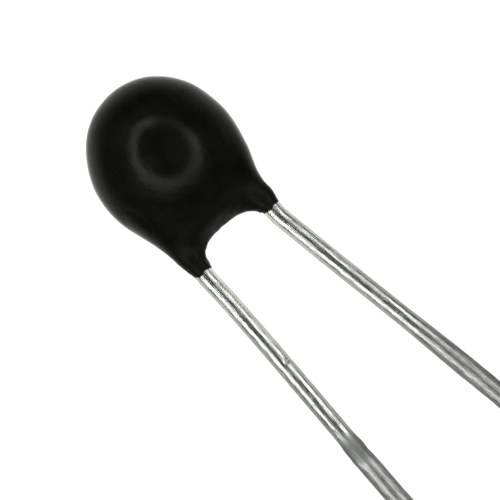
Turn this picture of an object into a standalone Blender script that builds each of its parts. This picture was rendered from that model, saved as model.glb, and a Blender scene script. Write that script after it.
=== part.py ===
"""Bead thermistor: a ceramic pellet soldered between two tinned leads, under a dipped black coat.

Everything is in metres, +Z up. The bead lies on its back face with both leads running along -Y and
their cut ends on the bench, as such a part comes to rest when it is put down. Shapes are worked out
about the pellet's centre, and the last step moves the whole part so that the middle of the foot of
its box is the origin.
"""

import math

import bmesh
import bpy
import numpy as np
from mathutils import Vector

MM = 0.001

# Clearances
LAYER_GAP = 0.005 * MM  # between layers that are bonded on the real part
FIT_GAP = 0.02 * MM  # between the coat and what it holds

# Ceramic pellet and its fired silver faces
DISC_DIAMETER = 2.90 * MM
DISC_THICKNESS = 0.92 * MM
DISC_EDGE_RADIUS = 0.07 * MM
ELECTRODE_MARGIN = 0.12 * MM  # bare ceramic left round the silver
ELECTRODE_THICKNESS = 0.02 * MM

# Tinned copper leads
WIRE_DIAMETER = 0.50 * MM
LEAD_PITCH = 2.54 * MM
LEAD_FREE_LENGTH = 24.0 * MM  # from the collar to the cut end
SPLAY_RIGHT = math.radians(10.3)  # the right lead is bent outwards
SPLAY_LEFT = math.radians(0.0)
EXIT_BEND_LENGTH = 0.3 * MM  # run over which a lead leaves the collar's direction
PRESSED_WIDTH = 0.57 * MM  # the outer stretch is pressed slightly flat
PRESSED_FROM = 4.6 * MM  # from the collar
PRESSED_RAMP = 1.5 * MM

# Route of the leads inside the coat
SEAT_OFFSET = 0.45 * MM  # from the middle of the pellet to each soldered wire
INNER_END_REACH = 0.75 * MM  # past the pellet's centre
JOGGLE_LENGTH = 1.50 * MM  # run over which a wire passes from the collar to the pellet's face
JOGGLE_TO_RIM = 0.32 * MM  # from the pellet's rim inwards to where a wire reaches its level

# Solder fillets
SOLDER_FILM = 0.05 * MM  # under the wire
SOLDER_HEIGHT = 0.46 * MM
SOLDER_WIDTH = 1.00 * MM
SOLDER_LENGTH = 1.70 * MM

# Dipped coat
COAT_SIDE_WALL = 0.635 * MM  # from the pellet's rim to the widest point
COAT_FAR_WALL = 0.605 * MM  # from the pellet's rim to the far end
COAT_OVER_WIRE = 0.705 * MM
WIDEST_BELOW_CENTRE = 0.32 * MM
SUMMIT_BELOW_CENTRE = 0.03 * MM
THROAT_DEPTH = 1.15 * MM  # from the pellet's rim to the arch between the collars
COLLAR_LENGTH = 0.59 * MM
COLLAR_ROOT_WALL = 0.07 * MM
COLLAR_END_WALL = 0.02 * MM

# Facets
DISC_SIDES = 56
WIRE_SIDES = 16
COAT_SIDES = 28
COAT_STATIONS = 26  # from the far end to each collar's end
SOLDER_LEVELS = 6

# Shape of the curves
ARCH_FULLNESS = 2.4  # 2 is an ellipse, and more is squarer
ARCH_LAG = 1.9  # how late the sections leave the middle of the arch
HEIGHT_LAG = 0.88  # how late the coat gets thin towards the collars
FLANK_LAG = 1.06  # how late the flanks draw in below the widest point
OUTER_LEANNESS = 0.30  # 0 is a quarter ellipse over the pellet, and more is leaner
ARCH_LEANNESS = 0.80  # the same on the arch's side

# Levels above the pellet's middle plane
ELECTRODE_LEVEL = DISC_THICKNESS / 2 + LAYER_GAP
SOLDER_LEVEL = ELECTRODE_LEVEL + ELECTRODE_THICKNESS + LAYER_GAP
WIRE_LEVEL = SOLDER_LEVEL + SOLDER_FILM + LAYER_GAP + WIRE_DIAMETER / 2
COAT_LEVEL = WIRE_LEVEL + WIRE_DIAMETER / 2 + COAT_OVER_WIRE

# Outline of the coat
COAT_HALF_WIDTH = DISC_DIAMETER / 2 + COAT_SIDE_WALL
COAT_FAR_Y = DISC_DIAMETER / 2 + COAT_FAR_WALL
THROAT_Y = -DISC_DIAMETER / 2 - THROAT_DEPTH
COLLAR_END_Y = THROAT_Y - COLLAR_LENGTH
COLLAR_ROOT_RADIUS = WIRE_DIAMETER / 2 + FIT_GAP + COLLAR_ROOT_WALL
COLLAR_END_RADIUS = WIRE_DIAMETER / 2 + FIT_GAP + COLLAR_END_WALL
SUMMIT_SHARE = (THROAT_Y + SUMMIT_BELOW_CENTRE) / (THROAT_Y - COAT_FAR_Y)

# Where the wires change direction inside, as y
JOGGLE_TOP_Y = JOGGLE_TO_RIM - DISC_DIAMETER / 2
JOGGLE_FOOT_Y = JOGGLE_TOP_Y - JOGGLE_LENGTH
SOLDER_Y = (INNER_END_REACH + JOGGLE_TOP_Y) / 2 + LAYER_GAP


def clear_scene():
    for obj in list(bpy.data.objects):
        bpy.data.objects.remove(obj)


def finish(name, colour, roughness, metallic):
    material = bpy.data.materials.new(name)
    material.use_nodes = True
    shader = material.node_tree.nodes["Principled BSDF"]
    shader.inputs["Base Color"].default_value = (*colour, 1.0)
    shader.inputs["Roughness"].default_value = roughness
    shader.inputs["Metallic"].default_value = metallic
    return material


def ease(share):
    """A smooth step: 0 up to share 0, 1 from share 1, and a half cosine wave between them."""
    return 0.5 - 0.5 * np.cos(np.pi * np.clip(share, 0.0, 1.0))


def bend_run(distance, length):
    """Sideways gain per unit of slope when the slope grows evenly over the length and then stays."""
    inside = np.clip(distance, 0.0, length)
    return inside**2 / (2 * length) + np.maximum(distance - length, 0.0)


def evenly_spaced(points, shares):
    """The points at the given shares of a line's length, where the line is dense enough to measure."""
    steps = np.linalg.norm(np.diff(points, axis=0), axis=1)
    along = np.concatenate([[0.0], np.cumsum(steps)])
    return np.column_stack([np.interp(shares * along[-1], along, column) for column in points.T])


def add_object(name, mesh, material, crease=math.radians(40)):
    obj = bpy.data.objects.new(name, mesh)
    bpy.context.scene.collection.objects.link(obj)
    mesh.shade_smooth()
    mesh.set_sharp_from_angle(angle=crease)
    if material:
        mesh.materials.append(material)
    return obj


def loft(name, rings, material=None):
    """A closed solid through rings of points, all with as many points, capped at both ends."""
    bm = bmesh.new()
    loops = [[bm.verts.new(point) for point in ring] for ring in rings]
    for near, far in zip(loops, loops[1:]):
        for i in range(len(near)):
            j = (i + 1) % len(near)
            bm.faces.new((near[i], near[j], far[j], far[i]))
    bm.faces.new(loops[0])
    bm.faces.new(loops[-1])
    bmesh.ops.recalc_face_normals(bm, faces=bm.faces)
    mesh = bpy.data.meshes.new(name)
    bm.to_mesh(mesh)
    bm.free()
    return add_object(name, mesh, material)


def cylinder(name, radius, low, high, material=None):
    bm = bmesh.new()
    bmesh.ops.create_cone(
        bm, cap_ends=True, segments=DISC_SIDES, radius1=radius, radius2=radius, depth=high - low
    )
    bmesh.ops.translate(bm, verts=bm.verts, vec=(0, 0, (low + high) / 2))
    mesh = bpy.data.meshes.new(name)
    bm.to_mesh(mesh)
    bm.free()
    return add_object(name, mesh, material)


def cut(obj, cutter):
    """Takes the cutter's shape out of the object, and leaves the cutter as a hidden helper."""
    cutter.hide_render = True
    cutter.display_type = "WIRE"
    boolean = obj.modifiers.new(cutter.name, "BOOLEAN")
    boolean.operation = "DIFFERENCE"
    boolean.object = cutter


def disc(name, grow, material=None):
    """The pressed pellet, with the worn edge that tumbling gives it."""
    half = DISC_THICKNESS / 2 + grow
    pellet = cylinder(name, DISC_DIAMETER / 2 + grow, -half, half, material)
    edge = pellet.modifiers.new("worn edge", "BEVEL")
    edge.width = DISC_EDGE_RADIUS
    edge.segments = 3
    edge.limit_method = "ANGLE"
    return pellet


def electrode(name, face, grow, material=None):
    """The fired silver on one face of the pellet: face is 1 for the upper and -1 for the lower."""
    levels = (ELECTRODE_LEVEL - grow, ELECTRODE_LEVEL + ELECTRODE_THICKNESS + grow)
    low, high = sorted(face * level for level in levels)
    return cylinder(name, DISC_DIAMETER / 2 - ELECTRODE_MARGIN + grow, low, high, material)


def solder(name, face, grow, material=None):
    """A fillet like half a flattened egg, lying along its wire on the silver."""
    rise = np.linspace(0.0, np.radians(76), SOLDER_LEVELS)[:, None]
    turn = np.linspace(0.0, 2 * np.pi, DISC_SIDES // 2, endpoint=False)[None, :]
    across = (SOLDER_WIDTH / 2 + grow) * np.cos(rise) * np.cos(turn)
    along = (SOLDER_LENGTH / 2 + grow) * np.cos(rise) * np.sin(turn)
    height = (SOLDER_HEIGHT + grow) * np.sin(rise) + 0 * turn
    rings = np.stack(
        [face * SEAT_OFFSET + across, SOLDER_Y + along, face * (SOLDER_LEVEL + height)], axis=-1
    )
    if grow:
        foot = rings[:1].copy()
        foot[..., 2] -= face * grow
        rings = np.concatenate([foot, rings])
    return loft(name, rings, material)


def lead_line(y, side, splay):
    """Centre line of a lead, as points for an array of y.

    Inside the coat the wire eases from its place on the pellet's face, the upper one for the right
    lead and the lower one for the left, to the middle plane at the lead pitch. Outside it bends away
    by the splay, and down by just as much as brings its cut end to the level of the coat's belly.
    """
    seated = ease((y - JOGGLE_FOOT_Y) / JOGGLE_LENGTH)
    outside = COLLAR_END_Y - y
    run = bend_run(outside, EXIT_BEND_LENGTH)
    whole_run = bend_run(lead_reach(splay), EXIT_BEND_LENGTH)
    fall = (COAT_LEVEL - pressed_half_height(PRESSED_WIDTH / 2)) / whole_run
    at_collar = LEAD_PITCH / 2
    x = side * (at_collar + (SEAT_OFFSET - at_collar) * seated + math.tan(splay) * run)
    z = side * WIRE_LEVEL * seated - fall * run
    return np.column_stack([x, y, z])


def lead_reach(splay):
    """How far the cut end lies beyond the collar along -Y."""
    return LEAD_FREE_LENGTH * math.cos(splay)


def pressed_half_height(half_width):
    """Half the height of the pressed wire, whose section keeps the round wire's area."""
    return (WIRE_DIAMETER / 2) ** 2 / half_width


def lead_stations(splay):
    """Where the sections of a lead stand, as y from the inner end to the cut end."""
    bend_foot = COLLAR_END_Y - EXIT_BEND_LENGTH
    ramp_top = COLLAR_END_Y - PRESSED_FROM
    return np.concatenate(
        [
            [INNER_END_REACH],
            np.linspace(JOGGLE_TOP_Y, JOGGLE_FOOT_Y, 13),
            np.linspace(COLLAR_END_Y, bend_foot, 6),
            np.linspace(ramp_top, ramp_top - PRESSED_RAMP, 6),
            [COLLAR_END_Y - lead_reach(splay)],
        ]
    )


def lead_rings(y, side, splay, grow):
    """Sections of a lead square to its centre line, round at first and pressed flat further out."""
    step = 0.01 * MM
    centre = lead_line(y, side, splay)
    ahead = lead_line(y - step, side, splay) - lead_line(y + step, side, splay)
    tangent = ahead / np.linalg.norm(ahead, axis=1, keepdims=True)
    across = np.cross(tangent, (0.0, 0.0, 1.0))
    across /= np.linalg.norm(across, axis=1, keepdims=True)
    up = np.cross(across, tangent)
    pressed = ease((COLLAR_END_Y - PRESSED_FROM - y) / PRESSED_RAMP)
    half_width = WIRE_DIAMETER / 2 + (PRESSED_WIDTH - WIRE_DIAMETER) / 2 * pressed
    half_height = pressed_half_height(half_width)
    turn = np.linspace(0.0, 2 * np.pi, WIRE_SIDES, endpoint=False)
    sideways = (half_width + grow)[:, None, None] * np.cos(turn)[None, :, None] * across[:, None]
    upwards = (half_height + grow)[:, None, None] * np.sin(turn)[None, :, None] * up[:, None]
    return centre[:, None] + sideways + upwards


def lead(name, side, splay, material):
    return loft(name, lead_rings(lead_stations(splay), side, splay, 0.0), material)


def lead_channel(name, side, splay, grow):
    """The room for a lead in what surrounds it, open past the collar's end."""
    stations = lead_stations(splay)
    inside = stations[stations > COLLAR_END_Y]
    mouth = COLLAR_END_Y - WIRE_DIAMETER
    y = np.concatenate([[INNER_END_REACH + grow], inside[1:], [mouth]])
    rings = lead_rings(y, side, 0.0, grow)
    rings[-1] = rings[-2] + (lead_line(y, side, 0.0)[-1] - lead_line(y, side, 0.0)[-2]) * (0, 1, 0)
    return loft(name, rings)


def outer_outline(shares):
    """The bead's outer edge from the far end to the right collar, at shares of its length.

    Half an ellipse reaches down to the widest point. Then half a cosine wave draws the flank in to
    the collar's root, and a straight taper runs to the collar's end.
    """
    turn = np.linspace(0.0, np.pi / 2, 120)
    depth = COAT_FAR_Y + WIDEST_BELOW_CENTRE
    dome_y = depth * np.cos(turn) - WIDEST_BELOW_CENTRE
    dome = np.column_stack([COAT_HALF_WIDTH * np.sin(turn), dome_y])
    root_x = LEAD_PITCH / 2 + COLLAR_ROOT_RADIUS
    fall = np.linspace(0.0, 1.0, 80)[1:]
    flank_x = COAT_HALF_WIDTH + (root_x - COAT_HALF_WIDTH) * ease(fall**FLANK_LAG)
    flank_y = -WIDEST_BELOW_CENTRE + (THROAT_Y + WIDEST_BELOW_CENTRE) * fall
    collar = [[LEAD_PITCH / 2 + COLLAR_END_RADIUS, COLLAR_END_Y]]
    return evenly_spaced(np.vstack([dome, np.column_stack([flank_x, flank_y]), collar]), shares)


def arch_outline(shares):
    """The edge between the collars, from its middle to the right collar: a squared-off ellipse."""
    turn = np.pi / 2 * (1 - shares**ARCH_LAG)
    half_width = LEAD_PITCH / 2 - COLLAR_END_RADIUS
    power = 2 / ARCH_FULLNESS
    x = half_width * np.cos(turn).clip(0) ** power
    y = COLLAR_END_Y + COLLAR_LENGTH * np.sin(turn).clip(0) ** power
    return np.column_stack([x, y])


def coat_rings():
    """Sections of the coat, from the left collar's end round the far end to the right one's.

    Each section stands upright on a line from the arch to the outer edge. Its highest point lies on
    a ridge between the two, and a curve falls from there to each edge. In the collars it is a
    quarter ellipse. Towards the middle, where the ridge rises over the soldered wires, it gets
    leaner, so that the coat slopes from its summit on all sides.
    """
    station = np.linspace(-1.0, 1.0, 2 * COAT_STATIONS + 1)
    share = np.abs(station)
    mirror = np.column_stack([np.sign(station), np.ones_like(station)])
    outer = outer_outline(share) * mirror
    inner = arch_outline(share) * mirror
    ridge_share = 0.5 + (SUMMIT_SHARE - 0.5) * (1 - ease(share))
    ridge = inner + ridge_share[:, None] * (outer - inner)
    high = COLLAR_END_RADIUS + (COAT_LEVEL - COLLAR_END_RADIUS) * (1 - ease(share**HEIGHT_LAG))
    turn = np.linspace(0.0, 2 * np.pi, COAT_SIDES, endpoint=False)
    outwards = np.cos(turn).clip(0)[None, :, None] * (outer - ridge)[:, None]
    inwards = (-np.cos(turn)).clip(0)[None, :, None] * (inner - ridge)[:, None]
    plan = ridge[:, None] + outwards + inwards
    rise = np.sin(turn)
    lean = np.where(np.cos(turn) < 0, ARCH_LEANNESS, OUTER_LEANNESS) * (1 - ease(share))[:, None]
    height = high[:, None] * rise * (1 - lean * (1 - np.abs(rise)))
    return np.concatenate([plan, height[..., None]], axis=-1)


def coating(material):
    coat = loft("coating", coat_rings(), material)
    cut(coat, disc("room_for_disc", FIT_GAP))
    for face, label in ((1, "front"), (-1, "back")):
        cut(coat, electrode(f"room_for_electrode_{label}", face, FIT_GAP))
        cut(coat, solder(f"room_for_solder_{label}", face, FIT_GAP))
    cut(coat, lead_channel("channel_left", -1, SPLAY_LEFT, FIT_GAP))
    cut(coat, lead_channel("channel_right", 1, SPLAY_RIGHT, FIT_GAP))
    return coat


def soldered(name, side, splay, material):
    fillet = solder(name, side, 0.0, material)
    cut(fillet, lead_channel(f"groove_{name}", side, splay, LAYER_GAP))
    return fillet


def stand_on_origin(parts):
    """Hangs all objects on one empty, and moves it to bring the foot of the part's box to the origin."""
    bpy.context.view_layer.update()
    graph = bpy.context.evaluated_depsgraph_get()
    corners = np.array(
        [
            evaluated.matrix_world @ Vector(corner)
            for evaluated in (part.evaluated_get(graph) for part in parts)
            for corner in evaluated.bound_box
        ]
    )
    low, high = corners.min(axis=0), corners.max(axis=0)
    frame = bpy.data.objects.new("bead_thermistor", None)
    bpy.context.scene.collection.objects.link(frame)
    for obj in bpy.context.scene.objects:
        if obj is not frame:
            obj.parent = frame
    frame.location = (-(low[0] + high[0]) / 2, -(low[1] + high[1]) / 2, -low[2])


def build():
    clear_scene()
    ceramic = finish("ceramic", (0.055, 0.050, 0.046), 0.70, 0.0)
    silver = finish("fired_silver", (0.78, 0.77, 0.74), 0.45, 1.0)
    solder_metal = finish("solder", (0.60, 0.61, 0.62), 0.30, 1.0)
    tinned = finish("tinned_copper", (0.72, 0.73, 0.72), 0.22, 1.0)
    epoxy = finish("black_epoxy", (0.006, 0.006, 0.006), 0.30, 0.0)
    parts = [
        disc("ntc_disc", 0.0, ceramic),
        electrode("electrode_front", 1, 0.0, silver),
        electrode("electrode_back", -1, 0.0, silver),
        soldered("solder_front", 1, SPLAY_RIGHT, solder_metal),
        soldered("solder_back", -1, SPLAY_LEFT, solder_metal),
        lead("lead_left", -1, SPLAY_LEFT, tinned),
        lead("lead_right", 1, SPLAY_RIGHT, tinned),
        coating(epoxy),
    ]
    stand_on_origin(parts)


build()
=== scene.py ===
# %% [markdown]
# # A bead thermistor
# A bead thermistor measures temperature. A small ceramic pellet is soldered between two tinned wires,
# and the whole head is dipped in black epoxy, which hangs down to the wires in a smooth drop.
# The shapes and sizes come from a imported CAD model. This lesson loads it and dresses it: a coat with
# the ripples of a dipped surface, wires with the marks of drawing and bending, and light that shows
# black gloss and bright metal.

import bpy
import numpy as np
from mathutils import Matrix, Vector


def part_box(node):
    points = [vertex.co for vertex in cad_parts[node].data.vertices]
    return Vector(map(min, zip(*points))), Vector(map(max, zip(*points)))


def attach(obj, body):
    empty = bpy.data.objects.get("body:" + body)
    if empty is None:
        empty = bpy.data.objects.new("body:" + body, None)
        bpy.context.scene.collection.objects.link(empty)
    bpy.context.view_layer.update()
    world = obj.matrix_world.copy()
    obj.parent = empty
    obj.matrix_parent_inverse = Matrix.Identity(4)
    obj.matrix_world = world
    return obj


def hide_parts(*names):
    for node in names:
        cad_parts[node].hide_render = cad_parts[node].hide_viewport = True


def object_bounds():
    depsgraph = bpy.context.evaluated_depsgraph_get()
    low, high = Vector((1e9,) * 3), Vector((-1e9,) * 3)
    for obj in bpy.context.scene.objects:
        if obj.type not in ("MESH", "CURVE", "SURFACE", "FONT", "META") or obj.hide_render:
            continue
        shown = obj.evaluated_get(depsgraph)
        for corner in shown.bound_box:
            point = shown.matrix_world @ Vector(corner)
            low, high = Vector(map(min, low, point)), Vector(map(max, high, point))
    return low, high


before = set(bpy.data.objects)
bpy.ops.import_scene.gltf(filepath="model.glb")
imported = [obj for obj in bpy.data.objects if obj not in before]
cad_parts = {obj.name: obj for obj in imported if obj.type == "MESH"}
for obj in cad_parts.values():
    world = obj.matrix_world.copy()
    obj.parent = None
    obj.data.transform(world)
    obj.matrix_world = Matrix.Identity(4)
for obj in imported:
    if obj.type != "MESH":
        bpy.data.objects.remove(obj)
cad_box = [list(corner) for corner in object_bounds()]
print("CAD box in mm:", np.round(np.array(cad_box) * 1000, 2).tolist())

# %% [markdown]
# ## One set of sizes
# All shapes below are worked out about the pellet's centre, as they are in the CAD source, so the
# pellet's box gives the place of everything else. +Y points from the wires to the far end of the bead,
# and +Z points up. The sizes repeat those of the CAD source, because this file can't read it.

# %% Sizes and the pellet's place
MM = 0.001
PELLET = np.array([np.array(corner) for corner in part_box("ntc_disc")]).mean(axis=0)

HALF_WIDTH = 2.085 * MM
FAR_Y = 2.055 * MM
WIDEST_Y = -0.32 * MM
SUMMIT_Y = -0.03 * MM
THROAT_Y = -2.60 * MM
COLLAR_END_Y = -3.19 * MM
HALF_THICKNESS = 1.75 * MM
OUTER_LEANNESS = 0.30
ARCH_LEANNESS = 0.80
COLLAR_ROOT_RADIUS = 0.34 * MM
COLLAR_END_RADIUS = 0.29 * MM
WIRE_RADIUS = 0.25 * MM
HALF_PITCH = 1.27 * MM
print("pellet centre in mm:", np.round(PELLET * 1000, 3).tolist())

# %% [markdown]
# ## From a grid of points to a mesh
# Both pieces are surfaces over a grid: one way runs along the piece, the other runs round it. A small
# helper turns such a grid into faces for whole arrays at once. It can join the last row to the first,
# or close both ends with a flat face. It measures the signed volume and turns the faces round if that
# is negative, so they always point outwards.

# %% A mesh from a grid
def surface(name, grid, join_ends):
    """Quads between neighbouring rows and columns of a grid that wraps round its columns."""
    rows, columns = grid.shape[:2]
    index = np.arange(rows * columns).reshape(rows, columns)
    beside = np.roll(index, -1, axis=1)
    ahead = np.roll(index, -1, axis=0)
    diagonal = np.roll(beside, -1, axis=0)
    used = slice(None) if join_ends else slice(-1)
    quads = np.stack([index, beside, diagonal, ahead], axis=-1)[used].reshape(-1, 4)
    points = grid.reshape(-1, 3)
    a, b, c, d = (points[quads[:, k]] - points.mean(axis=0) for k in range(4))
    volume = np.sum(np.cross(a, b) * c) + np.sum(np.cross(a, c) * d)
    caps = [] if join_ends else [index[0][::-1], index[-1]]
    if volume < 0:
        quads = quads[:, ::-1]
        caps = [cap[::-1] for cap in caps]
    mesh = bpy.data.meshes.new(name)
    mesh.from_pydata(points, [], quads.tolist() + [cap.tolist() for cap in caps])
    mesh.shade_smooth()
    piece = bpy.data.objects.new(name, mesh)
    bpy.context.scene.collection.objects.link(piece)
    print(name, "has", len(mesh.polygons), "faces and holds", round(abs(volume) / 6 * 1e9, 2), "mm3")
    return piece


def give_attribute(piece, name, values):
    """Stores one number or one vector for each point, for a material to read."""
    kind, field = ("FLOAT_VECTOR", "vector") if values.ndim == 2 else ("FLOAT", "value")
    attribute = piece.data.attributes.new(name, kind, "POINT")
    attribute.data.foreach_set(field, values.astype(np.float32).ravel())


def ease(share):
    """A smooth step from 0 to 1: half a cosine wave."""
    return 0.5 - 0.5 * np.cos(np.pi * np.clip(share, 0.0, 1.0))


def ripple(points, length, seed):
    """Smooth unevenness between about -1 and 1: the mean of sine waves that run in random directions."""
    random = np.random.default_rng(seed)
    waves = random.normal(size=(14, 3)) / length
    phases = random.uniform(0.0, 2 * np.pi, 14)
    return np.sin(2 * np.pi * points @ waves.T + phases).mean(axis=-1) * 2


# %% [markdown]
# ## The outline of the dipped coat
# Seen from above, the coat is a drop with a notch. Its outer edge is half an ellipse that eases into
# two short collars round the wires. Surface tension pulls the resin between the wires up into an arch.
# Both edges are drawn as formulas of one share, which is 0 on the line of symmetry and 1 at the end of
# a collar, so each point on the arch has a partner on the outer edge.

# %% Outer edge and arch
EDGE_SAMPLES = 400
ARCH_POWER = 2.4


def evenly_spaced(line, shares):
    """Points at the given shares of a line's length."""
    along = np.append(0.0, np.cumsum(np.linalg.norm(np.diff(line, axis=0), axis=1)))
    return np.column_stack([np.interp(shares * along[-1], along, column) for column in line.T])


def outer_edge(shares):
    """Half an ellipse to the widest point, half a cosine wave to the collar's root, then a taper."""
    turn = np.linspace(0.0, np.pi / 2, EDGE_SAMPLES)
    dome = np.column_stack(
        [HALF_WIDTH * np.sin(turn), WIDEST_Y + (FAR_Y - WIDEST_Y) * np.cos(turn)]
    )
    fall = np.linspace(0.0, 1.0, EDGE_SAMPLES)[1:]
    root_x = HALF_PITCH + COLLAR_ROOT_RADIUS
    flank = np.column_stack(
        [
            HALF_WIDTH + (root_x - HALF_WIDTH) * ease(fall**1.06),
            WIDEST_Y + (THROAT_Y - WIDEST_Y) * fall,
        ]
    )
    end = [[HALF_PITCH + COLLAR_END_RADIUS, COLLAR_END_Y]]
    return evenly_spaced(np.vstack([dome, flank, end]), shares)


def arch_edge(shares):
    """A squared-off ellipse, whose power keeps its sides steep where they meet the collars."""
    turn = np.pi / 2 * (1 - shares**1.9)
    x = (HALF_PITCH - COLLAR_END_RADIUS) * np.cos(turn).clip(0) ** (2 / ARCH_POWER)
    y = COLLAR_END_Y + (THROAT_Y - COLLAR_END_Y) * np.sin(turn).clip(0) ** (2 / ARCH_POWER)
    return np.column_stack([x, y])


# %% [markdown]
# ## The body of the coat
# A drop of resin has no seams, so the coat has to be one surface. It could be sculpted, or merged from
# metaballs, but then its outline would only be near the measured one. Instead, upright sections stand
# along a fork-shaped path: from the end of one collar, round the far end, to the end of the other.
# Each section spans from the arch to the outer edge, and two curves rise from these edges to a ridge.
# In the collars they are quarter ellipses. Over the pellet, where the soldered wires raise the resin,
# they are leaner, so the coat slopes from its summit on all sides like a real drop.

# %% Sections of the coat
STATIONS = 130
SIDES = 200
station = np.linspace(-1.0, 1.0, 2 * STATIONS + 1)
share = np.abs(station)
turn = np.linspace(0.0, 2 * np.pi, SIDES, endpoint=False)


def coat_sections():
    """The coat's grid of points, and the ridge line in the middle plane that the sections stand over."""
    mirror = np.column_stack([np.sign(station), np.ones_like(station)])
    outer = outer_edge(share) * mirror
    inner = arch_edge(share) * mirror
    summit = (THROAT_Y - SUMMIT_Y) / (THROAT_Y - FAR_Y)
    ridge_share = 0.5 + (summit - 0.5) * (1 - ease(share))
    ridge = inner + ridge_share[:, None] * (outer - inner)
    peak = COLLAR_END_RADIUS + (HALF_THICKNESS - COLLAR_END_RADIUS) * (1 - ease(share**0.88))
    outwards = np.cos(turn).clip(0)[None, :, None] * (outer - ridge)[:, None]
    inwards = (-np.cos(turn)).clip(0)[None, :, None] * (inner - ridge)[:, None]
    plan = ridge[:, None] + outwards + inwards
    rise = np.sin(turn)
    lean = np.where(np.cos(turn) < 0, ARCH_LEANNESS, OUTER_LEANNESS) * (1 - ease(share))[:, None]
    height = peak[:, None] * rise * (1 - lean * (1 - np.abs(rise)))
    return np.dstack([plan, height]), np.column_stack([ridge, np.zeros_like(share)])


smooth_coat, ridge_line = coat_sections()
print("coat grid:", smooth_coat.shape[:2], "points")

# %% [markdown]
# ## What dipping leaves behind
# Real resin sags a little before it sets. Long, shallow ripples bend the reflections, the top is flat
# over the pellet, and the collars are wrinkled. Broad marks make the brow over the arch fuller and the
# shoulders flatter. Small ones sit near the wires: a bump on one shoulder, a burst bubble with a raised
# rim, and two short ridges where resin ran down. Each mark is a bell-shaped bump or dent. Marks and
# ripples move the surface along its own normal, and fade out at the collars' ends, where the coat meets
# the wire. The drop also hangs a few hundredths of a millimetre to the left of its wires, with its
# summit to the right.

# %% Ripples and small marks
CRATER = (1.19, -2.58, 0.50)
# Height, place and reach of each mark, all in mm from the pellet's centre. A dent's height is negative.
MARKS = [
    (0.052, (0.94, -0.57, 1.7), (1.1, 1.1, 1.5)),  # fuller top on the right
    (-0.076, (0.38, -0.04, 1.7), (0.55, 0.55, 1.5)),  # flat over the pellet
    (0.060, (-0.1, -2.27, 0.6), (1.1, 0.28, 0.6)),  # brow over the arch
    (-0.060, (-1.72, -1.05, 0.65), (0.36, 0.7, 0.5)),  # left shoulder
    (-0.030, (1.72, -1.05, 0.65), (0.36, 0.7, 0.5)),  # right shoulder
    (-0.022, (-0.2, 2.06, 0.0), (0.8, 0.35, 1.2)),  # far end
    (0.040, (1.80, -1.55, 0.0), (0.5, 0.45, 0.9)),  # right flank
    (0.022, (0.0, -2.75, 0.0), (1.1, 0.32, 0.9)),  # edge of the arch
    (0.018, (1.60, -2.66, 0.05), (0.16, 0.18, 0.5)),  # bump beside the right collar
    (0.022, CRATER, (0.13, 0.13, 0.3)),  # rim of the burst bubble
    (-0.050, CRATER, (0.070, 0.070, 0.3)),  # the burst bubble itself
    (0.022, (-1.15, -2.93, 0.33), (0.045, 0.15, 0.2)),  # first ridge on the left collar
    (0.018, (-1.33, -2.87, 0.33), (0.05, 0.15, 0.2)),  # second ridge
]


def normals(grid):
    """Unit normals: the cross product of the directions along and round the grid."""
    along = np.gradient(grid, axis=0)
    around = np.roll(grid, -1, axis=1) - np.roll(grid, 1, axis=1)
    across = np.cross(around, along)
    return across / np.linalg.norm(across, axis=-1, keepdims=True).clip(1e-12)


def bell(grid, place, reach):
    """1 at a place and 0 far from it: e to the minus square of the distance over the reach."""
    away = (grid - np.array(place) * MM) / (np.array(reach) * MM)
    return np.exp(-np.sum(away**2, axis=-1))


def marks(grid):
    """Height of the marks above the smooth coat, in metres."""
    height = 0.009 * MM * ripple(grid, 3.0 * MM, seed=4)
    height += 0.0016 * MM * ripple(grid, 0.9 * MM, seed=8)
    wrinkled = ease((-2.1 * MM - grid[..., 1]) / (0.6 * MM))
    height += 0.009 * MM * wrinkled * ripple(grid, 0.42 * MM, seed=21)
    for level, place, reach in MARKS:
        height += level * MM * bell(grid, place, reach)
    return height


def hang(grid, sides):
    """Sideways shift of the drop: to the left in its middle, and the left collar's end to the right."""
    y = grid[..., 1] / MM
    middle = ease((1.3 - y) / 1.2) * (1 - ease((-2.3 - y) / 0.8))
    left_end = ease((-2.7 - y) / 0.4) * (sides < 0)[:, None]
    summit = (grid[..., 2] / HALF_THICKNESS) ** 2
    return (0.025 * left_end - 0.042 * middle + 0.040 * summit) * MM


fade = 1 - ease((share - 0.95) / 0.05)
outward = normals(smooth_coat)
if np.sum(outward[STATIONS] * smooth_coat[STATIONS]) < 0:
    outward = -outward
raised = marks(smooth_coat)
outer_skin = smooth_coat + outward * (raised * fade[:, None])[..., None]
meniscus = 0.08 * ease((share - 0.955) / 0.045)[:, None, None]
outer_skin += meniscus * (ridge_line[:, None] - outer_skin)
outer_skin[..., 0] += hang(smooth_coat, station)
print("marks reach from", np.round((raised.min(), raised.max()), 6), "m")

# %% [markdown]
# ## The inside of the coat
# The pellet and the solder fill the coat, but its own inner wall still matters: it keeps the surface
# closed and clear of the wires. The wall is the smooth section shrunk towards the ridge line. At the
# collars' ends it narrows to the wire itself, and a rounded lip joins it to the outer skin. The ends of
# the collars are slightly ragged and not quite level, as the resin stopped where it liked.

# %% Inner wall, lips and the finished coat
LIP_ROWS = 5


def ragged_ends(grid, shares, sides):
    """Moves the collars' ends along the wire: the right one is shorter, and both are a little wavy."""
    near_end = ease((shares - 0.90) / 0.10)[:, None]
    level = np.where(sides > 0, 0.10, -0.045)[:, None]
    wave = 0.022 * np.sin(2 * turn + 0.6) + 0.012 * np.sin(5 * turn + 2.0)
    moved = grid.copy()
    moved[..., 1] += near_end * (level + wave[None, :] * np.where(sides > 0, 1, -1)[:, None]) * MM
    return moved


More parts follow.
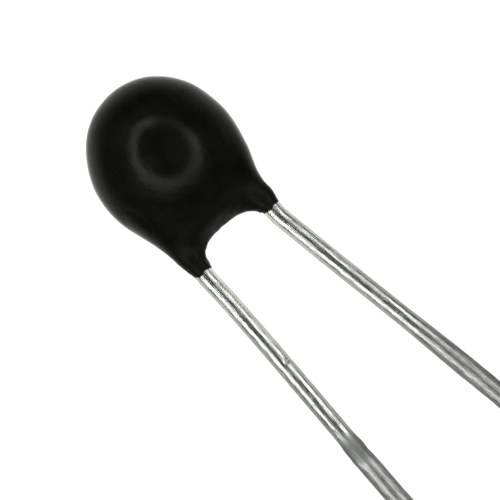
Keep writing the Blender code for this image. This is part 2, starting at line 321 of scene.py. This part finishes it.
mouth = (WIRE_RADIUS + 0.002 * MM) / COLLAR_END_RADIUS
keep = 0.95 + (mouth - 0.95) * ease((share - 0.80) / 0.20)
inner_wall = ridge_line[:, None] + (smooth_coat - ridge_line[:, None]) * keep[:, None, None]
inner_wall[..., 0] += hang(inner_wall, station)
outer_skin = ragged_ends(outer_skin, share, station)
inner_wall = ragged_ends(inner_wall, share, station)


def lip(outer_ring, inner_ring):
    """A half-round edge from the outer ring to the inner one, bulging along -Y."""
    bend = np.linspace(0.0, np.pi, LIP_ROWS + 2)[1:-1, None, None]
    middle = (outer_ring + inner_ring) / 2
    half = (outer_ring - inner_ring) / 2
    bulge = np.linalg.norm(half, axis=-1, keepdims=True) * (0.0, -1.0, 0.0)
    return middle + half * np.cos(bend) + bulge * np.sin(bend)


inside = inner_wall[::-5]
coat_grid = np.concatenate(
    [outer_skin, lip(outer_skin[-1], inside[0]), inside, lip(outer_skin[0], inside[-1])[::-1]]
)
coat = surface("epoxy_coat", coat_grid + PELLET, join_ends=True)
collar_note = ease((-1.7 * MM - coat_grid[..., 1]) / (0.9 * MM))
give_attribute(coat, "collar", collar_note.ravel())
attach(coat, "root")
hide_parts("coating")

# %% [markdown]
# ## The path of each wire
# Tinned copper wire is stiff enough to keep a bend. Inside the coat each wire steps from its face of the
# pellet to the middle plane. Outside, the left wire runs straight on, and the right one was bent
# outwards by ten degrees. Both slope down until their ends lie on the bench. The path is a formula of
# y, so it can be read at any density.

# %% Centre lines of the wires
WIRE_LEVEL = 0.795 * MM
SEAT_X = 0.45 * MM
INNER_END_Y = 0.75 * MM
JOGGLE_TOP_Y = -1.13 * MM
JOGGLE_LENGTH = 1.50 * MM
FREE_LENGTH = 24.0 * MM
EXIT_BEND = 0.3 * MM
PRESSED_HALF_WIDTH = 0.285 * MM


def pressed_half_height(half_width):
    """Pressing keeps the wire's area, so its height falls as its width grows."""
    return WIRE_RADIUS**2 / half_width


def bend_run(distance):
    """Sideways gain per unit of slope, for a slope that grows evenly over the exit bend."""
    inside_bend = np.clip(distance, 0.0, EXIT_BEND)
    return inside_bend**2 / (2 * EXIT_BEND) + np.maximum(distance - EXIT_BEND, 0.0)


def wire_path(y, side, splay, aside):
    """Points of a wire's centre line, with the faint waviness of wire that came off a reel."""
    seated = ease((y - JOGGLE_TOP_Y + JOGGLE_LENGTH) / JOGGLE_LENGTH)
    run = bend_run(COLLAR_END_Y - y)
    drop = HALF_THICKNESS - pressed_half_height(PRESSED_HALF_WIDTH)
    whole_run = bend_run(np.array(FREE_LENGTH * np.cos(splay)))
    free = ease((COLLAR_END_Y - y) / (3 * MM))
    sway = 0.012 * MM * np.sin(y / (1.5 * MM) + side) * free
    x = side * (HALF_PITCH + (SEAT_X - HALF_PITCH) * seated + np.tan(splay) * run) + sway
    x -= side * aside * ease((COLLAR_END_Y - y) / (1.2 * MM))
    z = side * WIRE_LEVEL * seated - drop * run / whole_run
    return np.column_stack([x, y, z])


# %% [markdown]
# ## The skin of each wire
# A wire is a ring carried along its path. A round profile would be enough for new wire, but these went
# through the feeding rollers of a packing machine, which pressed the outer stretch slightly flat, with
# faint ridges, and left shallow dents. The left wire is bruised where the rollers took hold. The ring's
# two half axes and its small unevenness change along the wire. Raising cosine and sine to a power just
# over one makes the ridges. A bruise or a nick that a wire doesn't have is put beyond its end. Each point
# also keeps three notes for the material: its place on the wire as if it were straight, how far it is
# pressed, and whether it is bruised.

# %% A wire carried along its path
WIRE_SIDES = 64
SEATED_STATIONS = 90
FREE_STATIONS = 900
OFF_THE_WIRE = -40 * MM
SQUARENESS = 0.20
BRUISE_REACH = 0.42 * MM
NICK_REACH = 0.065 * MM
NICK_DEPTH = 0.034 * MM
ENDLESS = 1e6


def pressed_ring(half_width, half_height, pressed):
    """Half width * cos and half height * sin, each to a power just over one where the wire is pressed."""
    angle = np.linspace(0.0, 2 * np.pi, WIRE_SIDES, endpoint=False)
    power = 1 + SQUARENESS * pressed[:, None]
    ring_x = half_width[:, None] * np.sign(np.cos(angle)) * np.abs(np.cos(angle)) ** power
    ring_z = half_height[:, None] * np.sign(np.sin(angle)) * np.abs(np.sin(angle)) ** power
    return ring_x, ring_z


def swelling(straight, y, side, pressed, bruise, nick_y):
    """Share of the ring's size at each point: 1, plus drawing lines and dents, less a short nick."""
    free = ease((COLLAR_END_Y - y) / (0.5 * MM))[:, None]
    drawn = ripple(straight * (1.0, 0.14, 1.0), 0.30 * MM, seed=int(3 + side))
    dents = ripple(straight * (1.0, 0.5, 1.0), 0.33 * MM, seed=int(13 + side))
    uneven = 0.0008 * MM * drawn * free + MM * (0.006 * pressed + 0.014 * bruise)[:, None] * dents
    nick = bell(straight, (0.14 * side, 0.0, 0.20), (0.11, ENDLESS, 0.12))
    nick *= np.exp(-(((y[:, None] - nick_y) / NICK_REACH) ** 2))
    return 1 + (uneven - NICK_DEPTH * nick) / WIRE_RADIUS


def wire(
    name, node, side, pressed_from, ramp, splay=0.0, aside=0.0, bruise_y=OFF_THE_WIRE, nick_y=OFF_THE_WIRE
):
    """A ring carried along a path: centre + across * half width * cos + up * half height * sin."""
    end_y = COLLAR_END_Y - FREE_LENGTH * np.cos(splay)
    seated_y = np.linspace(INNER_END_Y, COLLAR_END_Y, SEATED_STATIONS)
    y = np.append(seated_y, np.linspace(COLLAR_END_Y, end_y, FREE_STATIONS)[1:])
    centre = wire_path(y, side, splay, aside)
    tangent = np.gradient(centre, axis=0)
    tangent /= np.linalg.norm(tangent, axis=1, keepdims=True)
    across = np.cross(tangent, (0.0, 0.0, 1.0))
    across /= np.linalg.norm(across, axis=1, keepdims=True)
    up = np.cross(across, tangent)
    pressed = ease((pressed_from - y) / ramp)
    bruise = np.exp(-(((y - bruise_y) / BRUISE_REACH) ** 4))
    half_width = WIRE_RADIUS + (PRESSED_HALF_WIDTH - WIRE_RADIUS) * pressed
    ring_x, ring_z = pressed_ring(half_width, pressed_half_height(half_width), pressed)
    along = np.append(0.0, np.cumsum(np.linalg.norm(np.diff(centre, axis=0), axis=1)))
    straight = np.stack([ring_x, np.broadcast_to(along[:, None], ring_x.shape), ring_z], axis=-1)
    grid = centre[:, None] + swelling(straight, y, side, pressed, bruise, nick_y)[..., None] * (
        ring_x[..., None] * across[:, None] + ring_z[..., None] * up[:, None]
    )
    piece = surface(name, grid + PELLET, join_ends=False)
    give_attribute(piece, "straight", straight.reshape(-1, 3) / MM)
    give_attribute(piece, "pressed", np.broadcast_to(pressed[:, None], ring_x.shape).ravel())
    give_attribute(piece, "bruised", np.broadcast_to(bruise[:, None], ring_x.shape).ravel())
    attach(piece, "root")
    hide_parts(node)
    return piece


wires = [
    wire(
        "wire_left",
        "lead_left",
        side=-1,
        pressed_from=-8.9 * MM,
        ramp=0.8 * MM,
        aside=0.035 * MM,
        bruise_y=-9.45 * MM,
        nick_y=-6.46 * MM,
    ),
    wire(
        "wire_right",
        "lead_right",
        side=1,
        pressed_from=-7.2 * MM,
        ramp=2.4 * MM,
        splay=np.radians(10.3),
    ),
]

# %% [markdown]
# ## Materials out of nodes
# Every finish starts as a Principled shader. What is the same all over the surface is set on the
# shader's own sockets. What varies comes from noise textures that read the piece's own coordinates, so
# the pattern stays on the piece when it moves. A few short helpers keep the node wiring readable.

# %% Helpers for node materials
def material(name, **settings):
    """A new material and its shader, with the given sockets set, such as Roughness=0.3."""
    new = bpy.data.materials.new(name)
    new.use_nodes = True
    shader = new.node_tree.nodes["Principled BSDF"]
    for socket, value in settings.items():
        shader.inputs[socket.replace("_", " ")].default_value = value
    return new, shader


def feed(tree, socket, value):
    """Links a socket to the value if that is another node's output, or else sets it."""
    if isinstance(value, bpy.types.NodeSocket):
        tree.links.new(value, socket)
    else:
        socket.default_value = value


def add_node(tree, kind, **inputs):
    """A node whose inputs are fed by their labels, such as Vector=place."""
    node = tree.nodes.new(kind)
    for label, value in inputs.items():
        feed(tree, node.inputs[label.replace("_", " ")], value)
    return node


def calculate(tree, operation, *values, kind="ShaderNodeMath"):
    """A node of the given operation, whose inputs are fed in their order."""
    node = tree.nodes.new(kind)
    node.operation = operation
    for socket, value in zip(node.inputs, values):
        feed(tree, socket, value)
    return node


def stored(tree, name):
    """A node that reads what give_attribute stored under this name."""
    node = tree.nodes.new("ShaderNodeAttribute")
    node.attribute_name = name
    return node


def noise(tree, place, stretch, detail=4.0, distortion=0.0):
    """Noise over a place, whose stretch is the number of cells per unit on each axis."""
    mapping = add_node(tree, "ShaderNodeMapping", Vector=place, Scale=stretch)
    texture = add_node(
        tree,
        "ShaderNodeTexNoise",
        Vector=mapping.outputs[0],
        Scale=1.0,
        Detail=detail,
        Distortion=distortion,
    )
    return texture.outputs["Fac"]


def spread(tree, value, low, high, start=0.3, stop=0.7):
    """Maps a value from the range start to stop onto the range low to high."""
    node = add_node(tree, "ShaderNodeMapRange", Value=value)
    for label, number in (("From Min", start), ("From Max", stop), ("To Min", low), ("To Max", high)):
        node.inputs[label].default_value = number
    return node.outputs["Result"]


def blend_colours(tree, factor, first, second):
    """A colour that goes from the first to the second as the factor goes from 0 to 1."""
    node = tree.nodes.new("ShaderNodeMix")
    node.data_type = "RGBA"
    tree.links.new(factor, node.inputs[0])
    for index, colour in ((6, first), (7, second)):
        linked = isinstance(colour, bpy.types.NodeSocket)
        feed(tree, node.inputs[index], colour if linked else (*colour, 1.0))
    return node.outputs[2]


def relief(tree, shader, height, distance, strength=1.0):
    """Fine unevenness that bends the shading only: distance is its depth in metres."""
    bump = add_node(tree, "ShaderNodeBump", Height=height, Distance=distance, Strength=strength)
    tree.links.new(bump.outputs[0], shader.inputs["Normal"])


# %% [markdown]
# ## Black epoxy
# Dipping epoxy is filled with fine mineral powder. It is nearly black, with a soft gloss that blurs
# reflections, and the powder gives it a faint grain and a cloudy sheen. Three layers of noise make
# this: slow clouds in the colour, patches in the roughness, and a fine grain in the relief. The collars
# carry a note of their own, and are duller than the drop.

# %% The coat's finish
epoxy, shader = material("black_epoxy", IOR=1.50, Specular_IOR_Level=0.085)
tree = epoxy.node_tree
place = tree.nodes.new("ShaderNodeTexCoord").outputs["Object"]
clouds = noise(tree, place, (1400.0, 1400.0, 1400.0), detail=5.0)
cloudiness = spread(tree, clouds, 0.0, 1.0)
tint = blend_colours(tree, cloudiness, (0.0024, 0.0024, 0.0016), (0.0052, 0.0052, 0.0038))
tree.links.new(tint, shader.inputs["Base Color"])
patches = noise(tree, place, (2600.0, 2600.0, 2600.0), detail=3.0)
dull_collar = stored(tree, "collar")
body_gloss = spread(tree, patches, 0.15, 0.23)
collar_gloss = spread(tree, patches, 0.32, 0.50)
gloss = add_node(tree, "ShaderNodeMix", Factor=dull_collar.outputs["Fac"], A=body_gloss, B=collar_gloss)
tree.links.new(gloss.outputs["Result"], shader.inputs["Roughness"])
grain = noise(tree, place, (11000.0, 11000.0, 11000.0), detail=4.0)
relief(tree, shader, grain, 0.004 * MM)
coat.data.materials.append(epoxy)
print("coat finish:", len(tree.nodes), "nodes")

# %% [markdown]
# ## Tinned copper
# The tin on a component wire is bright but not a mirror. Fine lines run along it from the drawing die,
# and the pressed stretch is duller and rougher. The noise is read from the place on the straightened
# wire, stretched along its length, so the lines follow every bend. The pressed note mixes in the dull
# finish, and the bruised note makes it darker and almost matt. A dark tint at grazing angles is painted
# shade: it dims what the wires' edges mirror, so their edges come out dark.

# %% The wires' finish
# The dark Specular_Tint is painted shade on the wires' edges.
tinned, shader = material("tinned_copper", Metallic=1.0, Specular_Tint=(0.10, 0.10, 0.10, 1.0))
tree = tinned.node_tree
place = stored(tree, "straight").outputs["Vector"]
dullness = stored(tree, "pressed").outputs["Fac"]
bruised = stored(tree, "bruised").outputs["Fac"]
lines = noise(tree, place, (60.0, 1.5, 60.0), detail=1.0)
stains = noise(tree, place, (5.0, 1.6, 5.0), detail=4.0)
specks = noise(tree, place, (22.0, 4.0, 22.0), detail=3.0, distortion=0.3)
bright = spread(tree, stains, 0.17, 0.35)
dull = spread(tree, specks, 0.34, 0.52)
roughness = add_node(tree, "ShaderNodeMix", Factor=dullness, A=bright, B=dull)
scuffed = add_node(tree, "ShaderNodeMix", Factor=bruised, A=roughness.outputs["Result"], B=0.60)
tree.links.new(scuffed.outputs["Result"], shader.inputs["Roughness"])
tone = blend_colours(tree, dullness, (0.79, 0.81, 0.775), (0.52, 0.53, 0.51))
worn_tone = blend_colours(tree, bruised, tone, (0.36, 0.37, 0.35))
tree.links.new(worn_tone, shader.inputs["Base Color"])
both = add_node(tree, "ShaderNodeMix", Factor=dullness, A=lines, B=specks)
relief(tree, shader, both.outputs["Result"], 0.006 * MM)
for piece in wires:
    piece.data.materials.append(tinned)
print("wire finish:", len(tree.nodes), "nodes")

# %% [markdown]
# ## The pieces inside
# The pellet, its silver faces and the solder can't be seen in the finished part, but someone may cut it
# open. The CAD shapes are right as they are, so they only get better finishes: grainy sintered ceramic,
# screen-printed silver with a faint grain, and solder that froze with a frosty skin.

# %% Finishes of the hidden pieces
def hidden_finish(name, nodes, cells, colours, roughness, depth, metallic=0.0):
    """A finish from one noise: it mixes two colours, varies the roughness and gives the relief."""
    new, shader = material(name, Metallic=metallic)
    tree = new.node_tree
    place = tree.nodes.new("ShaderNodeTexCoord").outputs["Object"]
    texture = noise(tree, place, (cells, cells, cells), detail=5.0)
    mixed = blend_colours(tree, spread(tree, texture, 0.0, 1.0), *colours)
    tree.links.new(mixed, shader.inputs["Base Color"])
    tree.links.new(spread(tree, texture, *roughness), shader.inputs["Roughness"])
    relief(tree, shader, texture, depth)
    for node in nodes:
        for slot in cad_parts[node].material_slots:
            slot.material = new
    print(name, "on", ", ".join(nodes))


hidden_finish(
    "oxide_ceramic",
    ["ntc_disc"],
    12000.0,
    [(0.045, 0.041, 0.038), (0.068, 0.062, 0.056)],
    (0.60, 0.80),
    0.004 * MM,
)
hidden_finish(
    "fired_silver",
    ["electrode_front", "electrode_back"],
    9000.0,
    [(0.70, 0.69, 0.66), (0.82, 0.81, 0.78)],
    (0.38, 0.52),
    0.003 * MM,
    metallic=1.0,
)
hidden_finish(
    "solder",
    ["solder_front", "solder_back"],
    5000.0,
    [(0.54, 0.55, 0.56), (0.66, 0.67, 0.68)],
    (0.22, 0.38),
    0.004 * MM,
    metallic=1.0,
)

# %% [markdown]
# ## The camera
# The picture was taken from straight above through a long lens, with the part turned on its bench. A
# camera 300 mm up with a narrow view comes close to that: its lens is set so that the frame is 13.4 mm
# wide at the level of the pellet. The long distance keeps the wires' slope from changing their width.

# %% Camera from above
VIEW_WIDTH = 13.405 * MM
VIEW_HEIGHT = 300 * MM
VIEW_TURN = np.radians(-40.7)
SENSOR_WIDTH = 36.0
view_centre = PELLET + np.array([0.088, -3.577, 0.0]) * MM
camera = bpy.data.objects.new("camera", bpy.data.cameras.new("camera"))
bpy.context.scene.collection.objects.link(camera)
bpy.context.scene.camera = camera
camera.data.sensor_width = SENSOR_WIDTH
camera.data.lens = SENSOR_WIDTH * VIEW_HEIGHT / VIEW_WIDTH
camera.data.clip_start = 0.01
camera.data.clip_end = 10.0
camera.location = view_centre + (0.0, 0.0, VIEW_HEIGHT)
camera.rotation_euler = (0.0, 0.0, VIEW_TURN)
print("lens:", round(camera.data.lens, 1), "mm")

# %% [markdown]
# ## The floor
# The part lies on a white bench. The camera sees it pure white with the faintest shadow, and the metal
# mirrors a painted pool of light: light of the floor's own that gets darker with distance. The floor is
# one grid whose lines crowd round the part. Each point notes how brightly the painted glow shows in
# mirrors: most under the bead, and less with the distance from it. The painted pool reaches further
# sideways, most of all to the left, so sideways distances count for less.

# %% Floor with a painted glow near the part
FLOOR_REACH = 1.0
FLOOR_LEVEL = -0.01 * MM
LEFT_SHARE = 0.48
RIGHT_SHARE = 0.68


def warped_line(middle, reach, finest, count):
    """Positions that are finest apart in the middle and spread out towards both ends: a sinh curve."""
    steps = np.linspace(-1.0, 1.0, count)
    growth = np.arcsinh(reach / finest / count)
    return middle + reach * np.sinh(growth * steps) / np.sinh(growth)


part_low, part_high = (np.array(corner) for corner in cad_box)
middle = (part_low + part_high) / 2
floor_x = warped_line(middle[0], FLOOR_REACH, 0.01 * MM, 121)
floor_y = warped_line(middle[1], FLOOR_REACH, 0.02 * MM, 161)
grid_x, grid_y = np.meshgrid(floor_x, floor_y)
beside = grid_x - PELLET[0]
from_bead = np.hypot(beside * np.where(beside < 0, LEFT_SHARE, RIGHT_SHARE), grid_y - PELLET[1])
past_end = np.abs(grid_y - middle[1]) - (part_high[1] - part_low[1]) / 2
from_part = np.hypot(grid_x - middle[0], past_end.clip(0))
# Painted glow: a pool of light that the floor gives off for mirrors, brightest under the bead.
painted_glow = 1.6 / (1 + (from_bead / (5 * MM)) ** 2.2) + 0.30 / (1 + (from_part / (6 * MM)) ** 2)
rows, columns = grid_x.shape
index = np.arange(rows * columns).reshape(rows, columns)
quads = np.stack([index[:-1, :-1], index[:-1, 1:], index[1:, 1:], index[1:, :-1]], axis=-1)
floor_mesh = bpy.data.meshes.new("floor")
floor_points = np.stack([grid_x, grid_y, np.full_like(grid_x, FLOOR_LEVEL)], axis=-1)
floor_mesh.from_pydata(floor_points.reshape(-1, 3), [], quads.reshape(-1, 4).tolist())
floor = bpy.data.objects.new("floor", floor_mesh)
bpy.context.scene.collection.objects.link(floor)
give_attribute(floor, "painted_glow", painted_glow.ravel())
print("floor:", rows * columns, "points, glow up to", round(float(painted_glow.max()), 2))

# %% [markdown]
# ## The bench's finish
# The camera sees a plain white bench: a matt shader, mixed with light of its own so that it comes out
# pure white. What the bead and the wires mirror is the painted pool of light instead, in a faintly green
# white.

# %% What the camera sees and what mirrors see
CAMERA_SHARE = 0.80


def mix_shaders(tree, factor, first, second):
    """A shader that goes from the first to the second as the factor goes from 0 to 1."""
    mix = tree.nodes.new("ShaderNodeMixShader")
    for socket, source in zip(mix.inputs, (factor, first.outputs[0], second.outputs[0])):
        tree.links.new(source, socket)
    return mix


bench, shader = material("white_bench_painted_pool", Base_Color=(0.80, 0.80, 0.80, 1.0), Roughness=0.9)
shader.inputs["Specular IOR Level"].default_value = 0.0
tree = bench.node_tree
rays = tree.nodes.new("ShaderNodeLightPath")
seen = add_node(tree, "ShaderNodeEmission", Strength=1.15)
# The painted glow as emission that only mirrors see, standing in for a pool of light on the bench.
painted_pool_emission = add_node(tree, "ShaderNodeEmission", Strength=stored(tree, "painted_glow").outputs["Fac"])
painted_pool_emission.inputs["Color"].default_value = (0.97, 1.0, 0.93, 1.0)
to_camera = calculate(tree, "MULTIPLY", rays.outputs["Is Camera Ray"], CAMERA_SHARE)
in_mirrors = calculate(tree, "MAXIMUM", rays.outputs["Is Glossy Ray"], rays.outputs["Is Transmission Ray"])
plain = mix_shaders(tree, to_camera.outputs[0], shader, seen)
surface_mix = mix_shaders(tree, in_mirrors.outputs[0], plain, painted_pool_emission)
tree.links.new(surface_mix.outputs[0], tree.nodes["Material Output"].inputs["Surface"])
floor_mesh.materials.append(bench)
print("bench finish:", len(tree.nodes), "nodes")

# %% [markdown]
# ## The light
# The bead mirrors a broken ring and the wires mirror two long bright lines. Both come from a ring light
# round the lens, seen at about fifty degrees from straight up. Here the sky is that ring: a colour ramp
# over the angle from straight up gives its soft edges. The ring is broken towards one side of the
# picture, where the stand of the lamp covered it, and weaker towards the wires.

# %% The ring in the sky
# Degrees from straight up, and how bright the sky is there.
RING = [(0, 0.06), (25, 0.08), (40, 0.15), (46, 3.9), (53, 4.1), (59, 0.20), (80, 0.05), (180, 0.05)]
BREAK_TURN = VIEW_TURN - np.radians(22)
BREAK_COSINES = (0.82, 0.985)
BREAK_LEVEL = 0.22
WEAKER_LEVEL = 0.60

world = bpy.data.worlds.new("ring_light")
bpy.context.scene.world = world
world.use_nodes = True
tree = world.node_tree
tree.nodes.clear()
direction = tree.nodes.new("ShaderNodeTexCoord").outputs["Generated"]
axes = add_node(tree, "ShaderNodeSeparateXYZ", Vector=direction)
angle = calculate(tree, "ARCCOSINE", axes.outputs["Z"])
turned = spread(tree, angle.outputs[0], 0.0, 1.0, start=0.0, stop=float(np.pi))
ring = add_node(tree, "ShaderNodeValToRGB", Fac=turned)
stops = ring.color_ramp.elements
while len(stops) < len(RING):
    stops.new(0.5)
for stop, (degrees, level) in zip(stops, RING):
    stop.position = degrees / 180
    stop.color = (level, level, level, 1.0)
flat = calculate(tree, "MULTIPLY", direction, (1.0, 1.0, 0.0), kind="ShaderNodeVectorMath")
heading = calculate(tree, "NORMALIZE", flat.outputs[0], kind="ShaderNodeVectorMath").outputs[0]
break_heading = (-np.sin(BREAK_TURN), np.cos(BREAK_TURN), 0.0)
towards = calculate(tree, "DOT_PRODUCT", heading, break_heading, kind="ShaderNodeVectorMath")
edge, core = BREAK_COSINES
break_in_ring = spread(tree, towards.outputs["Value"], 1.0, BREAK_LEVEL, start=edge, stop=core)
along_wires = add_node(tree, "ShaderNodeSeparateXYZ", Vector=heading).outputs["Y"]
weaker_side = spread(tree, along_wires, WEAKER_LEVEL, 1.0, start=-1.0, stop=-0.2)
level = ring.outputs[0]
for dimming in (break_in_ring, weaker_side):
    level = calculate(tree, "MULTIPLY", level, dimming).outputs[0]
rays = tree.nodes.new("ShaderNodeLightPath")
strength = add_node(tree, "ShaderNodeMix", Factor=rays.outputs["Is Camera Ray"], A=level, B=1.0)
sky = add_node(tree, "ShaderNodeBackground", Strength=strength.outputs["Result"])
sky.inputs["Color"].default_value = (1.0, 1.0, 1.0, 1.0)
output = tree.nodes.new("ShaderNodeOutputWorld")
tree.links.new(sky.outputs[0], output.inputs["Surface"])
print("ring light:", len(tree.nodes), "nodes, brightest at 46 to 53 degrees")

# %% [markdown]
# ## The lamp overhead
# Direct light for the rough surfaces comes from a soft lamp overhead that mirrors don't see. The view
# transform is the plain one, so white stays white.

# %% Overhead lamp and view
lamp = bpy.data.objects.new("overhead_lamp", bpy.data.lights.new("overhead_lamp", "SUN"))
bpy.context.scene.collection.objects.link(lamp)
lamp.data.energy = 1.7
lamp.data.angle = np.radians(70)
lamp.visible_glossy = False

view = bpy.context.scene.view_settings
view.view_transform = "Standard"
print("overhead lamp:", round(lamp.data.energy, 2), "W per square metre")
